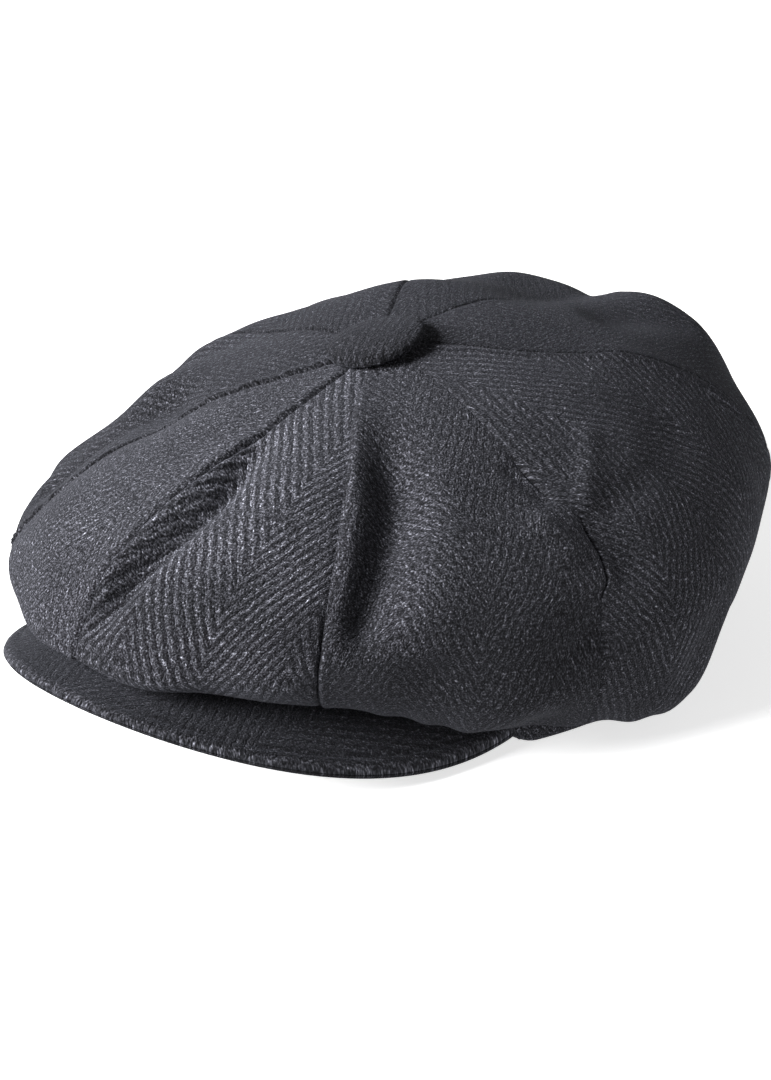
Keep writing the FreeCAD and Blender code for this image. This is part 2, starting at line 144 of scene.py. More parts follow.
# How each panel is cut from the cloth: where its first herringbone column lies across it, how far it is
# turned, its lightness, how far the ribs show, and how many halvings darker the cloth is near the band.
# The lightness is partly the tone of the nap as each panel is cut and partly painted light and shade, the
# front panels painted lighter and the back ones darker. The darkening near the band is painted shade.
CLOTH_CUT = {
    "front_left": (-17.0, 5.0, 1.4, 1.0, 0.8), "front_side_left": (-3.0, 0.0, 0.95, 0.5, 0.6),
    "back_side_left": (36.0, 0.0, 0.85, 0.75, 0.0), "back_left": (2.0, 0.0, 0.62, 0.4, 0.0),
    "back_right": (-7.0, 0.0, 0.50, 0.5, 0.0), "back_side_right": (5.0, 0.0, 0.60, 0.6, 0.0),
    "front_side_right": (-4.0, 0.0, 0.70, 0.6, 0.3), "front_right": (11.0, 0.0, 1.2, 0.35, 0.2),
}

# Folds: height (a valley is negative), half width on the side of smaller and of larger azimuth,
# and the line that the fold follows, as (azimuth, share of the way down).
FOLDS = (
    # left front: the centre front seam stands on the edge of a valley
    (2.2, 9, 3, ((1, 0.24), (2, 0.38), (2, 0.54), (1, 0.66), (0, 0.82))),
    (-6.8, 4.2, 4.6, ((5, 0.22), (7.5, 0.34), (8.5, 0.44), (7.5, 0.53), (6, 0.62), (4.5, 0.70), (3, 0.80),
                      (2, 0.92))),
    (1.0, 7, 9, ((22, 0.30), (21, 0.45), (19, 0.60), (16, 0.78))),
    # the rolled edge along the left front seam, the deep fold beside it and the ridge behind that
    (2.3, 2.6, 6, ((31, 0.08), (35, 0.24), (37, 0.42), (37, 0.60), (36.5, 0.78), (36, 0.98))),
    (-7.2, 8.5, 7, ((42.5, 0.20), (45.5, 0.32), (46, 0.44), (44.5, 0.53), (43, 0.61), (41, 0.70), (39, 0.80),
                    (38, 0.94))),
    (2.6, 8, 11, ((57, 0.26), (57, 0.42), (55, 0.54), (52, 0.66), (49, 0.82), (47, 0.98))),
    # the pinch in the left side seam, with creases running out from it
    (-1.4, 3, 4, ((76, 0.40), (78, 0.47), (82, 0.55))),
    (-1.9, 3.4, 8, ((84, 0.57), (86, 0.64), (88, 0.72), (86, 0.84))),
    (2.0, 7, 4, ((74, 0.54), (78, 0.62), (80, 0.70))),
    (1.6, 4, 5, ((86, 0.58), (91, 0.53), (98, 0.47), (107, 0.41))),
    (-1.7, 6, 7, ((88, 0.60), (97, 0.59), (108, 0.60))),
    # the shadowed hollow under the left side's bulge
    (-3.6, 9, 9, ((42, 1.12), (54, 1.10), (66, 1.07), (76, 1.00), (84, 0.90))),
    # left back
    (-1.6, 8, 10, ((104, 0.62), (116, 0.58), (128, 0.60))),
    (1.2, 9, 9, ((108, 0.78), (122, 0.80), (134, 0.86))),
    (-1.5, 7, 8, ((110, 1.00), (102, 1.16), (97, 1.40))),
    (1.6, 5, 6, ((136, 0.34), (141, 0.46), (143, 0.62), (144, 0.80))),
    # back
    (-2.0, 9, 10, ((160, 0.36), (164, 0.52), (163, 0.70))),
    (-2.2, 8, 9, ((186, 0.30), (184, 0.48), (187, 0.68), (188, 0.84))),
    (1.4, 10, 9, ((200, 0.40), (203, 0.60), (202, 0.80))),
    (-1.8, 8, 9, ((228, 0.42), (233, 0.58), (232, 0.78), (226, 1.00))),
    # right side
    (-3.2, 7, 9, ((248, 0.36), (254, 0.52), (262, 0.66), (268, 0.82))),
    (1.6, 9, 9, ((240, 0.60), (248, 0.76), (252, 0.96))),
    (-2.2, 7, 8, ((284, 0.30), (288, 0.46), (290, 0.62), (288, 0.80))),
    (-3.2, 7, 8, ((318, 0.30), (316, 0.44), (318, 0.58), (321, 0.74), (322, 0.96))),
    (1.8, 9, 9, ((306, 0.36), (304, 0.54), (307, 0.74), (310, 0.98))),
)
# Swellings and hollows: height, radius, azimuth, share of the way down.
SWELLS = (
    # front and left side
    (2.8, 15, 14, 0.72), (-3.4, 14, 20, 1.04), (-2.4, 16, 343, 0.90),
    (2.4, 26, 68, 0.64), (2.0, 16, 64, 1.20), (2.2, 16, 95, 1.62), (-4.0, 12, 69, 1.58),
    (1.5, 14, 104, 1.45), (-5.4, 20, 120, 1.40), (4.6, 18, 144, 0.98),
    # back and top
    (1.6, 16, 149, 0.80), (3.0, 15, 165, 0.68), (4.6, 16, 175, 0.62), (-3.2, 14, 182, 0.32),
    (4.0, 16, 216, 0.24), (-5.2, 20, 192, 0.46), (-0.8, 24, 225, 0.40), (1.5, 22, 205, 0.90),
    # right side
    (-2.6, 24, 250, 0.44), (1.6, 12, 281, 0.52), (-5.2, 18, 293, 0.62), (-3.4, 22, 308, 0.70),
    (-4.8, 14, 324, 0.42), (1.5, 22, 262, 1.10), (-1.0, 16, 273, 0.28),
)
UNEVENNESS = (7, 52.0, 0.9)      # the slow waves all over the crown: seed, size and height
GATHERS, BUTTON_GATHERS = 38, 23  # how many run round the crown's turned-in edge and the button's

# ---------------------------------------------------------------- the crown's surface


def stations(values, azimuth):
    """A smooth even curve of the azimuth through values at 0, 45, 90, 135 and 180 degrees."""
    last = len(values) - 1
    total = 0.0
    for wave in range(last + 1):
        weight = sum(value * math.cos(math.pi * at * wave / last) * (0.5 if at in (0, last) else 1.0)
                     for at, value in enumerate(values))
        weight *= (1.0 if wave in (0, last) else 2.0) / last
        total = total + weight * np.cos(wave * np.radians(azimuth))
    return total


def dome_point(dome, azimuth, down):
    """Points of a gored dome, from the tip (down = 0) over the widest line (1) to the rim (2)."""
    azimuth, down = np.broadcast_arrays(np.asarray(azimuth, float), np.asarray(down, float))
    side, front = np.sin(np.radians(azimuth)), -np.cos(np.radians(azimuth))
    reach = stations(dome["reach"], azimuth)
    widest_z = stations(dome["widest"], azimuth)
    widest = np.stack([reach * side, CENTER_Y + reach * front, widest_z], -1)
    top = np.array([0.0, TOP_Y, dome["height"]])

    out = np.sin(np.minimum(down, 1) * math.pi / 2)
    drop = (1 - out ** stations(dome["spread"], azimuth)) ** (1 / stations(dome["fall"], azimuth))
    upper = top + (widest - top) * out[..., None]
    upper[..., 2] = widest_z + (dome["height"] - widest_z) * drop
    upper[..., 2] += TOP_SLOPE * (upper[..., 1] - TOP_Y) * (1 - out) ** 2

    rim = np.stack([(OPENING[0] + dome["rim_offset"]) * side, (OPENING[1] + dome["rim_offset"]) * front,
                    stations(dome["rim"], azimuth)], -1)
    out = np.clip(np.cos((np.maximum(down, 1) - 1) * math.pi / 2), 0, 1)
    power = stations(dome["under"], azimuth)
    lower = rim + (widest - rim) * out[..., None]
    lower[..., 2] = widest_z - (widest_z - rim[..., 2]) * (1 - out ** power) ** (1 / power)
    return np.where((down <= 1)[..., None], upper, lower)


def dome_normal(dome, azimuth, down):
    """Outward unit normals of a gored dome."""
    step = 2e-3
    low, high = np.maximum(down - step, step), np.minimum(down + step, 2 - step / 10)
    along = dome_point(dome, azimuth, high) - dome_point(dome, azimuth, low)
    across = dome_point(dome, azimuth + step, down) - dome_point(dome, azimuth - step, down)
    normal = np.cross(along, across)
    return normal / np.linalg.norm(normal, axis=-1, keepdims=True)


def smooth_step(value):
    """A soft step from 0 to 1 as the value goes from 0 to 1."""
    value = np.clip(value, 0, 1)
    return value * value * (3 - 2 * value)


def curve_through(points, count):
    """A smooth open curve through 2-D or 3-D points, as count points (Catmull-Rom)."""
    points = np.asarray(points, float)
    padded = np.concatenate([[2 * points[0] - points[1]], points, [2 * points[-1] - points[-2]]])
    at = np.linspace(0, len(points) - 1 - 1e-9, count)
    span, t = at.astype(int), (at % 1)[:, None]
    a, b, c, d = (padded[span + k] for k in range(4))
    square = 2 * a - 5 * b + 4 * c - d
    cube = 3 * b - a - 3 * c + d
    return 0.5 * (2 * b + (c - a) * t + square * t ** 2 + cube * t ** 3)


def seam_azimuth(seam, down):
    """A seam's azimuth at each share of the way down, rounded between its points."""
    line = curve_through(SEAMS[seam], 160)
    return np.interp(down, line[:, 0], line[:, 1])


def fold_heights(points, azimuth):
    """How far the named folds and swellings raise each point of the crown, in millimetres."""
    flat, around = points.reshape(-1, 3), np.mod(azimuth.reshape(-1), 360)
    total = np.zeros(len(flat))
    for height, before, after, route in FOLDS:
        line = curve_through(route, 48)
        place = dome_point(CROWN, line[:, 0], line[:, 1])
        reach = 3.2 * max(before, after)
        near = np.all((flat > place.min(0) - reach) & (flat < place.max(0) + reach), axis=1)
        if not near.any():
            continue
        gap = np.linalg.norm(flat[near][:, None] - place[None], axis=2)
        closest = gap.argmin(1)
        turn = (around[near] - line[closest, 0] + 180) % 360 - 180
        blend = smooth_step(0.5 + turn / 6)
        width = before + (after - before) * blend
        ends = np.minimum(closest, len(line) - 1 - closest) / (0.24 * len(line))
        total[near] += height * smooth_step(ends) * np.exp(-(gap.min(1) / width) ** 2)
    for height, radius, at, down in SWELLS:
        center = dome_point(CROWN, at, down)
        total += height * np.exp(-(np.linalg.norm(flat - center, axis=1) / radius) ** 2)
    return total.reshape(points.shape[:-1])


def unevenness(points, seed, size, height):
    """Slow waves in space, the same wherever two panels meet."""
    random = np.random.default_rng(seed)
    total = np.zeros(points.shape[:-1])
    for _ in range(9):
        direction = random.normal(size=3)
        direction /= np.linalg.norm(direction)
        wave = 2 * math.pi / (size * random.uniform(0.7, 1.5))
        total += np.sin(points @ direction * wave + random.uniform(0, 2 * math.pi))
    return total * height / 3


# ---------------------------------------------------------------- mesh making


def link(name, vertices, faces, coords=None, edge=None):
    """A smooth mesh object. coords are each vertex's place on the flat cloth, edge its nearness to a seam."""
    mesh = bpy.data.meshes.new(name)
    mesh.from_pydata((np.asarray(vertices) * MM).tolist(), [], faces)
    mesh.polygons.foreach_set("use_smooth", [True] * len(mesh.polygons))
    if coords is not None:
        corner = np.empty(len(mesh.loops), int)
        mesh.loops.foreach_get("vertex_index", corner)
        layer = mesh.uv_layers.new(name="Cloth")
        layer.data.foreach_set("uv", (np.asarray(coords)[corner] * MM).ravel())
    if edge is not None:
        attribute = mesh.attributes.new("seam", "FLOAT", "POINT")
        attribute.data.foreach_set("value", np.asarray(edge, np.float32))
    mesh.validate()
    obj = bpy.data.objects.new(name, mesh)
    bpy.context.scene.collection.objects.link(obj)
    return obj


def quads(rows, columns, start=0, flip=False, wrap=False):
    """Faces of a grid whose vertices are numbered row by row."""
    faces = []
    for i in range(rows - 1):
        for j in range(columns if wrap else columns - 1):
            k = (j + 1) % columns
            a, b = start + i * columns + j, start + i * columns + k
            face = (a, b, b + columns, a + columns)
            faces.append(face[::-1] if flip else face)
    return faces


def shell_faces(rows, columns):
    """Faces of an outer grid, an inner grid after it, and the four walls between them."""
    size = rows * columns
    faces = quads(rows, columns) + quads(rows, columns, size, flip=True)
    ring = list(range(columns)) + [i * columns + columns - 1 for i in range(1, rows)]
    ring += [(rows - 1) * columns + j for j in range(columns - 2, -1, -1)]
    ring += [i * columns for i in range(rows - 2, 0, -1)]
    for a, b in zip(ring, ring[1:] + ring[:1]):
        faces.append((b, a, a + size, b + size))
    return faces


def flat_coords(points):
    """Place of each grid point on the flat cloth: across from the middle line, and down along it."""
    to_first, to_second = seam_distances(points)
    across = (to_first - to_second) / 2
    middle = points[:, points.shape[1] // 2]
    down = np.concatenate([[0], np.cumsum(np.linalg.norm(np.diff(middle, axis=0), axis=1))])
    return np.stack([across, np.repeat(down[:, None], points.shape[1], axis=1)], -1)


def seam_distances(points):
    """Distances of each grid point from its panel's two seams, measured along the grid's rows."""
    across = np.linalg.norm(np.diff(points, axis=1), axis=2)
    across = np.concatenate([np.zeros((len(points), 1)), np.cumsum(across, axis=1)], axis=1)
    return across, across[:, -1:] - across


def crowded(count, crowding):
    """Shares from 0 to 1 that lie closer together at both ends."""
    t = np.linspace(0, 1, count)
    return t - crowding * np.sin(2 * math.pi * t) / (2 * math.pi)


# ---------------------------------------------------------------- the gored domes

CROWN_COLUMNS, CROWN_ROWS = ((121, 271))
LINING_COLUMNS, LINING_ROWS = (33, 81)


def gore(dome, seams, columns, rows):
    """Base grid of one panel: shares across, points, normals and azimuths."""
    first, second = (seam_azimuth(seam, np.linspace(TIP_SHARE, 2, rows)) for seam in seams)
    if second.mean() < first.mean():
        first = first - 360
    share = crowded(columns, 0.72)
    azimuth = first[:, None] + (second - first)[:, None] * share[None]
    down = np.repeat(np.linspace(TIP_SHARE, 2, rows)[:, None], columns, axis=1)
    return share, down, dome_point(dome, azimuth, down), dome_normal(dome, azimuth, down), azimuth


def tip_distance(points):
    """Horizontal distance from the place where the panels meet."""
    return np.hypot(points[..., 0], points[..., 1] - TOP_Y)


def button_gap(points):
    """How far each point lies below the plane of the button's underside."""
    seat = button_seat()
    up = np.array(seat.col[2][:3])
    return (np.array(seat.translation) / MM - points) @ up


def seam_relief(seam, distance, down, side):
    """A seam's groove, with the rolled and puckered lip on one of its sides (0 before it, 1 after it)."""
    *lips, pucker, grooves = SEAM_SHAPES[seam]
    at, depths = zip(*grooves)
    stitch = np.sin(down * 118 + 3 * np.sin(down * 13)) * (0.6 + 0.4 * np.sin(down * 9))
    lip = lips[side] + pucker * stitch * (1 if lips[side] >= max(lips) else 0.3)
    groove = np.interp(down, at, depths) * np.exp(-(distance / 0.7) ** 2)
    return lip * np.exp(-((distance - 1.6) / 2.0) ** 2) - groove


def gore_shell(name, outer, inner, coords, nearness):
    """A closed panel between an outer and an inner grid."""
    rows, columns = outer.shape[:2]
    vertices = np.concatenate([outer.reshape(-1, 3), inner.reshape(-1, 3)])
    return link(name, vertices, shell_faces(rows, columns), np.concatenate([coords.reshape(-1, 2)] * 2),
                np.concatenate([nearness.ravel()] * 2))


def crown_panel(name, seams):
    """One wool panel of the crown, from the button to the band."""
    share, down, points, normal, azimuth = gore(CROWN, seams, CROWN_COLUMNS, CROWN_ROWS)
    to_first, to_second = seam_distances(points)
    distance = np.minimum(to_first, to_second)
    calm = smooth_step(down / 0.10) * smooth_step((2 - down) / 0.12)
    height = fold_heights(points, azimuth) * smooth_step(down / 0.2) * smooth_step((2 - down) / 0.35)
    height += unevenness(points, *UNEVENNESS) * calm * smooth_step((2 - down) / 0.5)
    height += (FULLNESS * 4 * share * (1 - share) - SEAM_PULL) * np.sin(math.pi * down / 2)
    height += calm * (seam_relief(seams[0], to_first, down, 1) + seam_relief(seams[1], to_second, down, 0))
    # Gathers where the cloth turns in to the band.
    gather = np.sin(np.radians(azimuth) * GATHERS + 2 * np.sin(np.radians(azimuth) * 7))
    height += 0.5 * gather * smooth_step((down - 1.35) / 0.4) * smooth_step((2 - down) / 0.1)
    # Close to the tips the cloth lies against the button's underside.
    height += (button_gap(points) - 0.5 - height) * smooth_step((15.5 - tip_distance(points)) / 5)
    outer = points + normal * height[..., None]
    # light sets this panel's painted lightness on top of the nap's own tone, and fall paints shade towards
    # the band.
    shift, turn, light, ribs, fall = CLOTH_CUT[name]
    coords = flat_coords(points)
    cos, sin = math.cos(math.radians(turn)), math.sin(math.radians(turn))
    cut = coords @ np.array([[cos, -sin], [sin, cos]]) + (shift, 0)
    panel = gore_shell("crown_%s_cloth" % name, outer, outer - normal * WOOL_THICK, cut,
                       np.exp(-(distance / 2.2) ** 2))
    panel.data.materials.append(wool(panel.name, light, ribs, fall=fall))
    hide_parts("crown_" + name)
    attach(panel, "root")


def room_under_crown(points, azimuth):
    """How far the lining may stand out, or must draw in, to stay inside the folded crown."""
    downs = np.linspace(0.02, 1.98, 66)
    line = dome_point(CROWN, azimuth[..., None], downs)
    nearest = np.linalg.norm(line - points[..., None, :], axis=-1).argmin(-1)
    above = np.take_along_axis(line, nearest[..., None, None], axis=-2)[..., 0, :]
    gap = np.linalg.norm(above - points, axis=-1)
    folds = fold_heights(above, azimuth) + unevenness(above, *UNEVENNESS)
    return gap + np.minimum(folds, 0) - SEAM_PULL - SEAM_DEPTH - WOOL_THICK - LINING_GAP


def lining_panel(name, seams, material):
    """One satin panel of the lining, wrinkled, and kept inside the crown's folds."""
    _, down, points, normal, azimuth = gore(LINING, seams, LINING_COLUMNS, LINING_ROWS)
    distance = np.minimum(*seam_distances(points))
    calm = smooth_step(down / 0.10) * smooth_step((2 - down) / 0.12)
    wrinkle = np.sin(np.radians(azimuth) * 23 + 4 * down + 2 * np.sin(5 * down))
    height = calm * (0.5 * wrinkle * np.sin(math.pi * down / 2) - 0.5 * np.exp(-(distance / 0.9) ** 2))
    height += unevenness(points, 11, 40.0, 0.6) * calm
    height = np.minimum(height, np.where(down < 1.8, room_under_crown(points, azimuth), height))
    outer = points + normal * height[..., None]
    coords = flat_coords(points)
    panel = gore_shell("lining_%s_cloth" % name, outer, outer - normal * SATIN_THICK, coords,
                       np.exp(-(distance / 1.6) ** 2))
    panel.data.materials.append(material)
    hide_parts("lining_" + name)
    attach(panel, "root")


# ---------------------------------------------------------------- bands


def visor_bend_z(x, above=0.0):
    """Height of the visor's underside, raised by above, at a distance x from the middle."""
    axis = VISOR_LIFT - math.sqrt(VISOR_BEND ** 2 - VISOR_HALF_WIDTH ** 2)
    return axis + np.sqrt((VISOR_BEND + above) ** 2 - np.minimum(np.abs(x), VISOR_HALF_WIDTH) ** 2)


def band_edge(azimuth, inside, above):
    """A band's edge: level at the back and sides, following the visor's bend in front."""
    x = (OPENING[0] + inside) * np.sin(np.radians(azimuth))
    y = -(OPENING[1] + inside) * np.cos(np.radians(azimuth))
    bent = above + visor_bend_z(x)
    front = smooth_step((VISOR_TIP_Y + 6 - y) / 12)
    return x, y, above + np.maximum(bent - above, 0) * front


def band_strip(name, node, inside, thick, low, high, material, stitches=()):
    """A closed strip round the opening with rounded edges. Its cloth runs along the strip.

    inside is how far its inner face lies from the opening, and stitches are the heights of its sewn lines.
    """
    columns, rows = 361, 25
    azimuth = np.linspace(0, 360, columns)
    x0, y0, low_z = band_edge(azimuth, inside, low)
    _, _, high_z = band_edge(azimuth, inside, high)
    outward = np.stack([x0 / (OPENING[0] + inside) ** 2, y0 / (OPENING[1] + inside) ** 2], -1)
    outward /= np.linalg.norm(outward, axis=1, keepdims=True)
    around = np.concatenate([[0], np.cumsum(np.hypot(np.diff(x0), np.diff(y0)))])
    ripple = 0.15 * np.sin(around / 6.5 + 2 * np.sin(around / 23))
    grids = []
    for outer_face in (True, False):
        grid = []
        for share in np.linspace(0, 1, rows):
            round_off = math.sqrt(max(0.0, 1 - abs(2 * share - 1) ** 14))
            half = (0.5 if outer_face else -0.5) * (0.35 + 0.65 * round_off)
            depth = thick * (0.5 + half) + ripple * math.sin(math.pi * share)
            if not outer_face:
                depth = depth + sum(STITCH_DENT * math.exp(-((share * (high - low) - at) / 0.5) ** 2)
                                    for at in stitches)
            z = low_z + (high_z - low_z) * share
            grid.append(np.stack([x0 + outward[:, 0] * depth, y0 + outward[:, 1] * depth, z], -1))
        grids.append(np.array(grid)[:, :-1])
    outer, inner = grids
    count = columns - 1
    size, top = rows * count, (rows - 1) * count
    faces = quads(rows, count, wrap=True) + quads(rows, count, size, flip=True, wrap=True)
    for j in range(count):
        k = (j + 1) % count
        faces.append((k, j, j + size, k + size))
        faces.append((top + j, top + k, top + k + size, top + j + size))
    coords = np.stack([np.repeat(around[None, :-1], rows, 0),
                       np.repeat(np.linspace(0, high - low, rows)[:, None], count, 1)], -1).reshape(-1, 2)
    vertices = np.concatenate([outer.reshape(-1, 3), inner.reshape(-1, 3)])
    band = link(name, vertices, faces, np.concatenate([coords] * 2), np.zeros(2 * size))
    band.data.materials.append(material)
    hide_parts(node)
    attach(band, "root")


# ---------------------------------------------------------------- visor


def visor_outline(count):
    """Matching points of the visor's outer edge and of the band that it is sewn to."""
    width, length = (half + BAND_OUTSIDE for half in OPENING)
    y = np.linspace(-VISOR_HALF_LENGTH / 2, VISOR_TIP_Y, 500)
    past = VISOR_HALF_WIDTH * np.sqrt(1 - ((y - VISOR_CENTER_Y) / VISOR_HALF_LENGTH) ** 2)
    tip = y[past > width * np.sqrt(1 - (y / length) ** 2)][-1]
    outer_end = math.acos((VISOR_CENTER_Y - tip) / VISOR_HALF_LENGTH)
    inner_end = math.acos(-tip / length)
    share = np.linspace(-1, 1, count)
    share = np.sin(share * math.pi / 2 * 0.92) / math.sin(math.pi / 2 * 0.92)
    outer = np.stack([VISOR_HALF_WIDTH * np.sin(share * outer_end),
                      VISOR_CENTER_Y - VISOR_HALF_LENGTH * np.cos(share * outer_end)], -1)
    inner = np.stack([width * np.sin(share * inner_end), -length * np.cos(share * inner_end)], -1)
    return inner, outer


def visor_cover(name, node, sign, light, edge):
    """One of the visor's covers. sign is 1 for the top cover and -1 for the under cover."""
    columns, rows = 201, 57
    inner, outer = visor_outline(columns)
    gap = np.linalg.norm(outer - inner, axis=1)
    reaches = np.linspace(0, 1, rows) ** 0.8
    half = VISOR_THICK / 2
    layers = []
    for inset in (0.0, COVER_THICK):
        layer = []
        for reach in reaches:
            from_edge = (1 - reach) * gap
            fade = np.clip(from_edge / VISOR_EDGE_ROUND, 0, 1)
            rounded = np.sqrt(1 - (1 - fade) ** 2.4)
            place = inner + (outer - inner) * np.minimum(reach, 1 - inset / np.maximum(gap, 4))[..., None]
            if inset == 0:
                lift = half * np.maximum(rounded, 0.10)
                lift += 0.25 * np.sin(math.pi * reach)
                lift -= TOPSTITCH_DEPTH * np.exp(-((from_edge - TOPSTITCH_IN) / 0.9) ** 2)
            else:
                lift = (half - inset) * rounded
            above = half + sign * lift
            layer.append(np.stack([place[:, 0], place[:, 1], visor_bend_z(place[:, 0], above)], -1))
        layers.append(np.array(layer))
    top, under = layers
    coords = np.stack([top[..., 0], -top[..., 1]], -1).reshape(-1, 2)
    faces = shell_faces(rows, columns)
    if sign < 0:
        faces = [face[::-1] for face in faces]
    vertices = np.concatenate([top.reshape(-1, 3), under.reshape(-1, 3)])
    nearness = np.exp(-((1 - reaches[:, None]) * gap[None] / 2.0) ** 2).ravel()
    cover = link(name, vertices, faces, np.concatenate([coords] * 2), np.concatenate([nearness] * 2))
    cover.data.materials.append(wool(name, light, edge=edge))
    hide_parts(node)
    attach(cover, "root")


# ---------------------------------------------------------------- button


def button_seat():
    """The button's place and direction: on the panels' tips, leaning to the front and a little right."""
    turn = math.radians(BUTTON_LEAN_AZIMUTH)
    axis = Vector((math.cos(turn), math.sin(turn), 0))
    seat = Matrix.Rotation(math.radians(BUTTON_LEAN), 4, axis)
    seat.translation = Vector((0, TOP_Y, CROWN["height"] + BUTTON_LIFT)) * MM
    return seat


def button_dome(radius, height):
    """Profile of the button's top, as (radius, height), from the middle to the upright edge."""
    angles = np.linspace(0, math.pi / 2, 22)
    return [(radius * math.sin(a) ** 0.86, BUTTON_SIDE + (height - BUTTON_SIDE) * max(0, math.cos(a)) ** 0.9)
            for a in angles]


def turned(profile, columns):
    """Rows of points of a profile of (radius, height) turned round the upright axis."""
    turn = np.linspace(0, 2 * math.pi, columns, endpoint=False)
    return np.array([np.stack([r * np.cos(turn), r * np.sin(turn), z + 0 * turn], -1) for r, z in profile])


def weld(obj):
    """Merge the points where a turned shape meets its axis."""
    modifier = obj.modifiers.new("weld", "WELD")
    modifier.merge_threshold = WELD_DISTANCE


def button_cover():
    """Cloth pulled over a domed shell and gathered underneath."""
    columns = 144
    profile = button_dome(BUTTON_RADIUS, BUTTON_HEIGHT)
    profile += [(BUTTON_RADIUS + 0.15, BUTTON_SIDE * 0.55), (BUTTON_RADIUS - 0.3, 0.35),
                (BUTTON_RADIUS - 1.2, 0.0), (BUTTON_RADIUS - 3.0, -0.05), (BUTTON_TUCK, 0.1),
                (BUTTON_TUCK, 0.8), (BUTTON_RADIUS - 2.6, 0.9), (BUTTON_RADIUS - BUTTON_CLOTH, 1.3)]
    profile += button_dome(BUTTON_RADIUS - BUTTON_CLOTH, BUTTON_HEIGHT - BUTTON_CLOTH)[::-1]
    turn = np.linspace(0, 2 * math.pi, columns, endpoint=False)
    rows, coords = [], []
    run = 0.0
    for number, (radius, height) in enumerate(profile):
        if number:
            run += math.dist(profile[number], profile[number - 1])
        edge = smooth_step((radius - 9) / 6)
        gather = 0.22 * edge * np.sin(turn * BUTTON_GATHERS + 1.5 * np.sin(3 * turn))
        gather = gather * (height < BUTTON_SIDE + 1.5)
        wave = 0.25 * np.sin(2 * turn + 0.7) * smooth_step(radius / 12)
        rows.append(np.stack([(radius + gather) * np.cos(turn), (radius + gather) * np.sin(turn),
                              height + wave + 0 * turn], -1))
        coords.append(np.stack([run * np.cos(turn) + 5, run * np.sin(turn) + 5], -1))
    vertices = np.array(rows).reshape(-1, 3)
    faces = quads(len(rows), columns, flip=True, wrap=True)
    cover = link("button_cover_cloth", vertices, faces, np.array(coords).reshape(-1, 2),
                 np.zeros(len(vertices)))
    weld(cover)
    cover.data.transform(button_seat())
    cover.data.materials.append(wool("button_cover_cloth", 0.40))
    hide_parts("button_cover")
    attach(cover, "root")


def button_shell(material):
    """The pressed metal cup under the button's cloth, with its shank."""
    columns = 96
    outside = BUTTON_RADIUS - BUTTON_CLOTH - 0.15
    top = BUTTON_HEIGHT - BUTTON_CLOTH - 0.15
    inside = outside - SHELL_THICK
    profile = button_dome(outside, top)
    profile += [(outside, 1.5), (outside - 0.2, 1.25), (inside + 0.1, 1.25), (inside, 1.5)]
    under = button_dome(inside, top - SHELL_THICK)[::-1]
    profile += [place for place in under if place[0] > SHANK_RADIUS + 0.4]
    profile += [(SHANK_RADIUS + 0.35, under[-1][1] - 0.05), (SHANK_RADIUS, under[-1][1] - 0.5),
                (SHANK_RADIUS, 1.0 - SHANK_DROP), (SHANK_RADIUS - 0.3, 0.6 - SHANK_DROP),
                (0.0, 0.55 - SHANK_DROP)]
    shell = link("button_shell_cup", turned(profile, columns).reshape(-1, 3),
                 quads(len(profile), columns, flip=True, wrap=True))
    weld(shell)
    shell.data.transform(button_seat())
    shell.data.materials.append(material)
    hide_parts("button_shell")
    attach(shell, "root")


# ---------------------------------------------------------------- materials


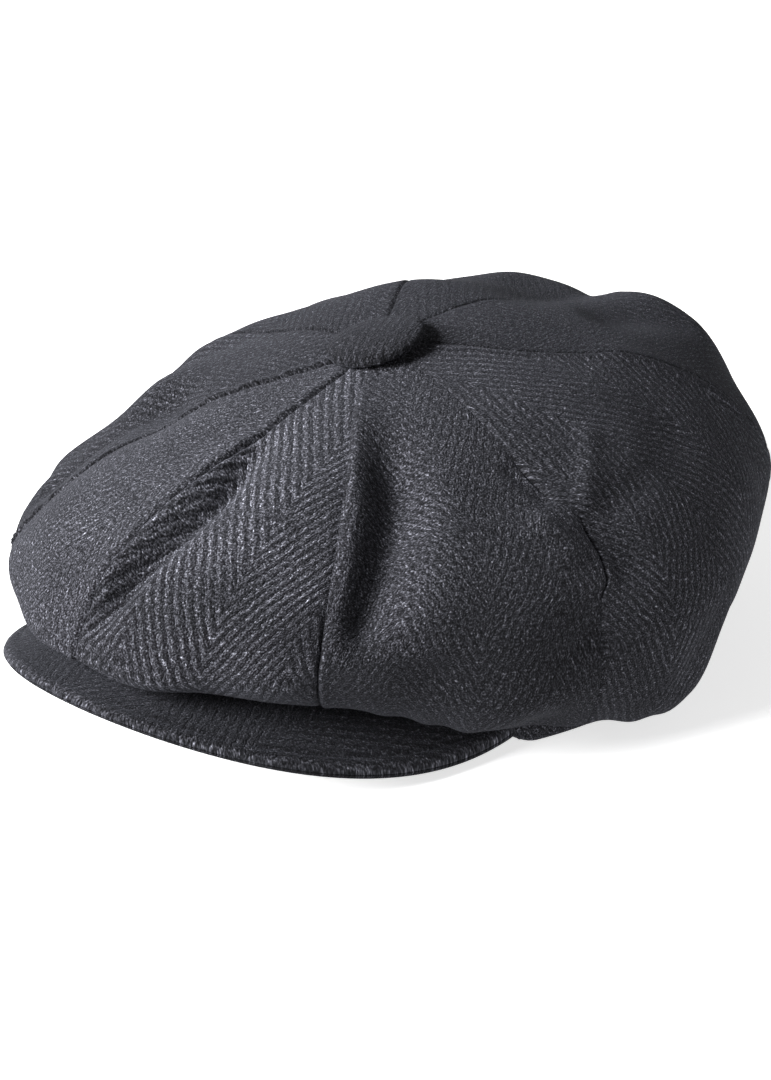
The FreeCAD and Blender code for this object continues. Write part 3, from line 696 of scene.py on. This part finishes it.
class Nodes:
    """Shorthand for building a node material."""

    def __init__(self, name):
        self.material = bpy.data.materials.new(name)
        self.material.use_nodes = True
        self.tree = self.material.node_tree
        self.shader = self.tree.nodes["Principled BSDF"]

    def add(self, kind, **inputs):
        """A shader node with some of its sockets fed."""
        node = self.tree.nodes.new("ShaderNode" + kind)
        for key, value in inputs.items():
            self.feed(node, key, value)
        return node

    def feed(self, node, key, value):
        """Link or set a socket, which key gives by name, or by number after an underscore."""
        socket = node.inputs[int(key[1:])] if key[0] == "_" else node.inputs[key.replace("_", " ")]
        if isinstance(value, bpy.types.NodeSocket):
            self.tree.links.new(value, socket)
        else:
            socket.default_value = value

    def math(self, operation, *values, clamp=False):
        node = self.tree.nodes.new("ShaderNodeMath")
        node.operation = operation
        node.use_clamp = clamp
        for number, value in enumerate(values):
            self.feed(node, "_%d" % number, value)
        return node.outputs[0]

    def noise(self, vector, scale, detail=2.0, rough=0.5):
        node = self.add("TexNoise", Vector=vector, Scale=scale, Detail=detail, Roughness=rough)
        return node.outputs["Fac"]

    def ramp(self, value, low, high, to_low=0.0, to_high=1.0):
        """A soft step from to_low to to_high as the value goes from low to high."""
        node = self.tree.nodes.new("ShaderNodeMapRange")
        node.interpolation_type = "SMOOTHSTEP"
        for number, item in enumerate((value, low, high, to_low, to_high)):
            self.feed(node, "_%d" % number, item)
        return node.outputs[0]

    def vector(self, x, y, z=0.0):
        return self.add("CombineXYZ", X=x, Y=y, Z=z).outputs[0]

    def cloth(self):
        """Place on the flat cloth, across and along, in millimetres."""
        layer = self.tree.nodes.new("ShaderNodeUVMap")
        layer.uv_map = "Cloth"
        parts = self.add("SeparateXYZ", _0=layer.outputs[0])
        return [self.math("MULTIPLY", parts.outputs[k], 1 / MM) for k in (0, 1)]

    def seam(self):
        """Nearness to a seam or rim, from 0 to 1."""
        node = self.tree.nodes.new("ShaderNodeAttribute")
        node.attribute_name = "seam"
        return node.outputs["Fac"]

    def mix(self, factor, first, second):
        node = self.tree.nodes.new("ShaderNodeMix")
        node.data_type = "RGBA"
        self.tree.links.new(factor, node.inputs[0])
        for number, value in ((6, first), (7, second)):
            self.feed(node, "_%d" % number, value)
        return node.outputs[2]

    def bump(self, height, strength, distance):
        """Feed the shader's normal. distance is the relief's depth in metres."""
        node = self.add("Bump", Height=height)
        node.inputs["Strength"].default_value = strength
        node.inputs["Distance"].default_value = distance
        self.tree.links.new(node.outputs[0], self.shader.inputs["Normal"])

    def finish(self, color, roughness, **fixed):
        """Link the colour and roughness, and set the other values on the shader's own sockets."""
        self.tree.links.new(color, self.shader.inputs["Base Color"])
        if isinstance(roughness, bpy.types.NodeSocket):
            self.tree.links.new(roughness, self.shader.inputs["Roughness"])
        else:
            self.shader.inputs["Roughness"].default_value = roughness
        for key, value in fixed.items():
            self.shader.inputs[key.replace("_", " ")].default_value = value
        return self.material


COLUMN, RIB, RIB_ANGLE = 27.0, 3.0, 28.0   # herringbone column width, rib spacing and angle to the column
WOOL_TONE = 0.026                          # middle reflectance of the cloth
FIBRES, FUZZ, NAP = 7.0, 10.5, 1.4         # how strongly each noise changes the tone
PAINTED_SHADE_START, PAINTED_SHADE_END = 98.0, 126.0         # painted shade: the cloth darkens between these distances from the tips


def wool(name, light, ribs=0.6, edge=-0.15, fall=0.0):
    """Brushed charcoal herringbone: chevron ribs under a nap of light and dark fibres.

    light is the cloth's lightness for this piece, which on the crown panels and the visor's top cover also
    paints in light and shade; ribs how far the chevrons show, edge the change of tone at a seam or rim,
    and fall how much darker the cloth gets towards the band, which is painted shade.
    """
    n = Nodes("wool_" + name)
    across, down = n.cloth()
    place = n.vector(across, down)
    drift = n.noise(place, 0.09, 2.0)
    across = n.math("ADD", across, n.math("MULTIPLY", n.math("SUBTRACT", drift, 0.5), 2.0))
    fine_drift = n.noise(place, 0.7, 2.0)
    zigzag = n.math("PINGPONG", across, COLUMN)
    angle = math.radians(RIB_ANGLE)
    along_pitch = RIB / math.sin(angle)
    level = n.math("ADD", down, n.math("MULTIPLY", zigzag, 1 / math.tan(angle)))
    level = n.math("ADD", level, n.math("MULTIPLY", n.math("SUBTRACT", fine_drift, 0.5), 1.0))
    rib_phase = n.math("MULTIPLY", level, 2 * math.pi / along_pitch)
    rib = n.ramp(n.math("SINE", rib_phase), -0.75, 0.75)
    # Fibres lie along the ribs, so their noise is stretched that way.
    square = n.math("MULTIPLY", level, math.sin(angle))
    along = n.math("SUBTRACT", n.math("MULTIPLY", down, math.cos(angle)),
                   n.math("MULTIPLY", zigzag, math.sin(angle)))
    fibres = n.noise(n.vector(n.math("MULTIPLY", square, 1.5), n.math("MULTIPLY", along, 0.5)), 1.0, 1.0, 0.6)
    fuzz = n.noise(place, 1.6, 1.0, 0.6)
    nap = n.noise(place, 0.05, 3.0, 0.6)
    worn = n.ramp(nap, 0.35, 0.65, 0.5, 1.0)

    # Steps of lightness, each unit twice as bright as the one before it.
    steps = n.math("MULTIPLY", n.math("SUBTRACT", rib, 0.5), n.math("MULTIPLY", worn, 2.0 * ribs))
    for part, strength in ((fibres, FIBRES), (fuzz, FUZZ), (nap, NAP)):
        steps = n.math("ADD", steps, n.math("MULTIPLY", n.math("SUBTRACT", part, 0.5), strength))
    steps = n.math("ADD", steps, n.math("MULTIPLY", n.seam(), edge))
    # Painted shade: the cloth is darkened towards the band, where the crown turns in.
    if fall:
        steps = n.math("ADD", steps, n.ramp(down, PAINTED_SHADE_START, PAINTED_SHADE_END, 0.0, -fall))
    value = n.math("MULTIPLY", n.math("POWER", 2.0, steps), WOOL_TONE * light, clamp=True)
    color = n.mix(value, (0, 0, 0, 1), (0.96, 0.97, 1.14, 1))

    relief = n.math("ADD", n.math("MULTIPLY", rib, 0.30 * ribs), n.math("MULTIPLY", fibres, 0.8))
    relief = n.math("ADD", relief, n.math("MULTIPLY", fuzz, 1.2))
    n.bump(relief, 0.8, 0.0008)
    return n.finish(color, 0.95, Sheen_Weight=0.06, Sheen_Roughness=0.5,
                    Sheen_Tint=(0.80, 0.83, 1.0, 1), Specular_IOR_Level=0.08)


def satin():
    """Black-grey lining satin with a fine warp and soft cloudy sheen."""
    n = Nodes("lining_satin_weave")
    across, down = n.cloth()
    warp = n.noise(n.vector(n.math("MULTIPLY", across, 4.0), n.math("MULTIPLY", down, 0.25)), 1.0, 3.0, 0.6)
    cloud = n.noise(n.vector(across, down), 0.04, 2.0)
    tone = n.math("ADD", n.math("MULTIPLY", warp, 0.6), n.math("MULTIPLY", cloud, 0.5))
    tone = n.math("SUBTRACT", tone, n.math("MULTIPLY", n.seam(), 0.5), clamp=True)
    color = n.mix(tone, (0.010, 0.010, 0.012, 1), (0.045, 0.045, 0.052, 1))
    n.bump(warp, 0.35, 0.0002)
    return n.finish(color, n.ramp(cloud, 0.3, 0.7, 0.34, 0.5), Anisotropic=0.6,
                    Sheen_Weight=0.1, Specular_IOR_Level=0.5)


def tape():
    """Ribbed sweatband tape, ribs across the strip."""
    n = Nodes("sweatband_tape")
    across, down = n.cloth()
    ribs = n.math("SINE", n.math("MULTIPLY", across, 2 * math.pi / 1.1))
    speck = n.noise(n.vector(across, down), 2.4, 3.0, 0.7)
    soil = n.noise(n.vector(across, down), 0.06, 2.0)
    tone = n.math("ADD", n.math("MULTIPLY", ribs, 0.16), n.math("MULTIPLY", speck, 0.6))
    tone = n.math("ADD", tone, n.math("MULTIPLY", soil, 0.3), clamp=True)
    color = n.mix(tone, (0.008, 0.008, 0.010, 1), (0.060, 0.060, 0.066, 1))
    n.bump(n.math("ADD", ribs, speck), 0.5, 0.0003)
    return n.finish(color, 0.85, Sheen_Weight=0.15, Specular_IOR_Level=0.2)


def object_place(n):
    """Place in the cap's own frame, in millimetres."""
    source = n.add("TexCoord").outputs["Object"]
    node = n.tree.nodes.new("ShaderNodeVectorMath")
    node.operation = "SCALE"
    n.tree.links.new(source, node.inputs[0])
    node.inputs["Scale"].default_value = 1 / MM
    return node.outputs[0]


def buckram():
    """Open stiff weave, dyed dark grey."""
    n = Nodes("buckram_weave")
    place = object_place(n)
    parts = n.add("SeparateXYZ", _0=place)
    threads = n.math("MULTIPLY", n.math("SINE", n.math("MULTIPLY", parts.outputs[2], 5.2)),
                     n.math("SINE", n.math("MULTIPLY", parts.outputs[1], 5.2)))
    speck = n.noise(place, 1.4, 3.0, 0.6)
    tone = n.math("ADD", n.math("MULTIPLY", threads, 0.3), speck, clamp=True)
    color = n.mix(tone, (0.018, 0.018, 0.020, 1), (0.070, 0.070, 0.076, 1))
    n.bump(threads, 0.5, 0.0003)
    return n.finish(color, 0.8, Specular_IOR_Level=0.3)


def board():
    """Matt moulded plastic with a fine grain."""
    n = Nodes("visor_board_plastic")
    place = object_place(n)
    grain = n.noise(place, 1.8, 3.0, 0.6)
    cloud = n.noise(place, 0.05, 2.0)
    color = n.mix(n.math("ADD", n.math("MULTIPLY", grain, 0.4), n.math("MULTIPLY", cloud, 0.5), clamp=True),
                  (0.020, 0.020, 0.022, 1), (0.055, 0.055, 0.060, 1))
    n.bump(grain, 0.3, 0.0002)
    return n.finish(color, n.ramp(grain, 0.3, 0.7, 0.5, 0.68), Specular_IOR_Level=0.4)


def pressed_metal():
    """Pressed aluminium with fine drawing lines."""
    n = Nodes("button_metal_pressed")
    place = object_place(n)
    lines = n.noise(place, 6.0, 2.0, 0.5)
    stain = n.noise(place, 0.3, 2.0)
    color = n.mix(n.ramp(stain, 0.3, 0.7), (0.55, 0.55, 0.56, 1), (0.74, 0.74, 0.75, 1))
    n.bump(lines, 0.2, 0.0001)
    return n.finish(color, n.ramp(lines, 0.3, 0.7, 0.32, 0.48), Metallic=1.0)


def dress_cad_nodes(metal):
    """Materials of the rigid inner pieces, which keep their CAD shape."""
    materials = {"band_stiffener": buckram(), "visor_board": board(), "button_washer": metal}
    for node, material in materials.items():
        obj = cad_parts[node]
        obj.data.materials.clear()
        obj.data.materials.append(material)


# ---------------------------------------------------------------- camera, stage and light

VIEW_AZIMUTH, VIEW_ELEVATION, VIEW_ROLL = 45.0, 24.5, -1.5
VIEW_DISTANCE, LENS, SENSOR = 1.5, 150.0, 36.0
AIM_RIGHT, AIM_UP = -0.0121, 0.0290        # in metres, from the centre of the head opening
FLOOR_GLOW = 0.70    # the floor is a faint light table, which keeps the cap's shadow on it pale
FLOOR_RADIUS, COVE_RADIUS, WALL_TOP = 2.4, 0.9, 3.0
WORLD_STRENGTH = 0.13
LIGHTS = (           # name, azimuth, elevation, distance, size, power
    ("key", -14, 27, 1.8, 0.9, 96),
    ("under", 112, -30, 2.0, 1.4, 26),
    ("side", 100, 18, 2.0, 1.4, 2),
    ("top", -60, 75, 1.9, 1.6, 1),
)


def direction(azimuth, elevation):
    """From the cap towards a place seen at this azimuth and elevation."""
    a, e = math.radians(azimuth), math.radians(elevation)
    return Vector((math.sin(a) * math.cos(e), -math.cos(a) * math.cos(e), math.sin(e)))


def opening_center():
    """The middle of the head opening, at the sweatband's lower edge."""
    low, high = (Vector(corner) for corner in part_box("sweatband"))
    return Vector(((low.x + high.x) / 2, (low.y + high.y) / 2, low.z))


def box_center():
    """The middle of the CAD box."""
    low, high = (Vector(corner) for corner in CAD_BOX)
    return (low + high) / 2


def add_camera():
    """A long lens at the viewing angle, rolled a little."""
    data = bpy.data.cameras.new("camera")
    data.lens, data.sensor_width = LENS, SENSOR
    camera = bpy.data.objects.new("camera", data)
    back = direction(VIEW_AZIMUTH, VIEW_ELEVATION)
    right = Vector((math.cos(math.radians(VIEW_AZIMUTH)), math.sin(math.radians(VIEW_AZIMUTH)), 0))
    up = back.cross(right)
    aim = opening_center() + right * AIM_RIGHT + up * AIM_UP
    turn = Matrix((right, up, back)).transposed().to_4x4()
    roll = Matrix.Rotation(math.radians(-VIEW_ROLL), 4, "Z")
    camera.matrix_world = Matrix.Translation(aim + back * VIEW_DISTANCE) @ turn @ roll
    bpy.context.scene.collection.objects.link(camera)
    bpy.context.scene.camera = camera


def add_light(name, azimuth, elevation, distance, size, power):
    """A round soft light that faces the cap."""
    data = bpy.data.lights.new(name, "AREA")
    data.shape = "DISK"
    data.size, data.energy = size, power
    lamp = bpy.data.objects.new(name, data)
    back = direction(azimuth, elevation)
    facing = back.to_track_quat("Z", "Y").to_matrix().to_4x4()
    lamp.matrix_world = Matrix.Translation(box_center() + back * distance) @ facing
    bpy.context.scene.collection.objects.link(lamp)


def add_stage():
    """A plain pale floor that curves up to a wall all round."""
    low = min(0.0, CAD_BOX[0][2])
    profile = [(1e-4, low), (FLOOR_RADIUS / 2, low), (FLOOR_RADIUS, low)]
    for step in range(1, 13):
        angle = step / 12 * math.pi / 2
        rise = COVE_RADIUS * (1 - math.cos(angle))
        profile.append((FLOOR_RADIUS + COVE_RADIUS * math.sin(angle), low + rise))
    profile.append((FLOOR_RADIUS + COVE_RADIUS, low + WALL_TOP))
    columns = 96
    vertices = turned(profile, columns).reshape(-1, 3) / MM
    floor = link("studio_floor", vertices, quads(len(profile), columns, wrap=True))
    n = Nodes("studio_floor_paint")
    cloud = n.noise(object_place(n), 0.004, 2.0)
    color = n.mix(cloud, (0.86, 0.86, 0.86, 1), (0.90, 0.90, 0.90, 1))
    floor.data.materials.append(n.finish(color, 0.9, Specular_IOR_Level=0.1, Emission_Strength=FLOOR_GLOW,
                                         Emission_Color=(1, 1, 1, 1)))
    # The bounce from below comes from the under light alone, which shines through the floor.
    floor.visible_diffuse = floor.visible_shadow = False


def add_world():
    """Faint white light from all round."""
    world = bpy.data.worlds.new("studio_world")
    world.use_nodes = True
    background = world.node_tree.nodes["Background"]
    background.inputs[0].default_value = (1, 1, 1, 1)
    background.inputs[1].default_value = WORLD_STRENGTH
    bpy.context.scene.world = world


# ---------------------------------------------------------------- build


def build():
    """The studio and every piece of the cap."""
    bpy.context.scene.view_settings.view_transform = "Standard"
    add_camera()
    add_world()
    for light in LIGHTS:
        add_light(*light)
    add_stage()
    lining = satin()
    for name, first, second in PANELS:
        crown_panel(name, (first, second))
        lining_panel(name, (first, second), lining)
    band_strip("head_band_cloth", "head_band", SWEATBAND_THICK + STIFFENER_THICK, BAND_THICK - 0.1,
               0.0, BAND_HEIGHT, wool("head_band_cloth", 0.9))
    band_strip("sweatband_cloth", "sweatband", 0.0, SWEATBAND_THICK - 0.1, EDGE_STEP, BAND_HEIGHT,
               tape(), stitches=(2.5, 26.5))
    # The top cover's low lightness is painted shade from the crown that overhangs the visor.
    visor_cover("visor_top_cloth", "visor_top_cover", 1, 0.39, 1.6)
    visor_cover("visor_under_cloth", "visor_under_cover", -1, 0.5, -0.2)
    metal = pressed_metal()
    button_cover()
    button_shell(metal)
    dress_cad_nodes(metal)


build()
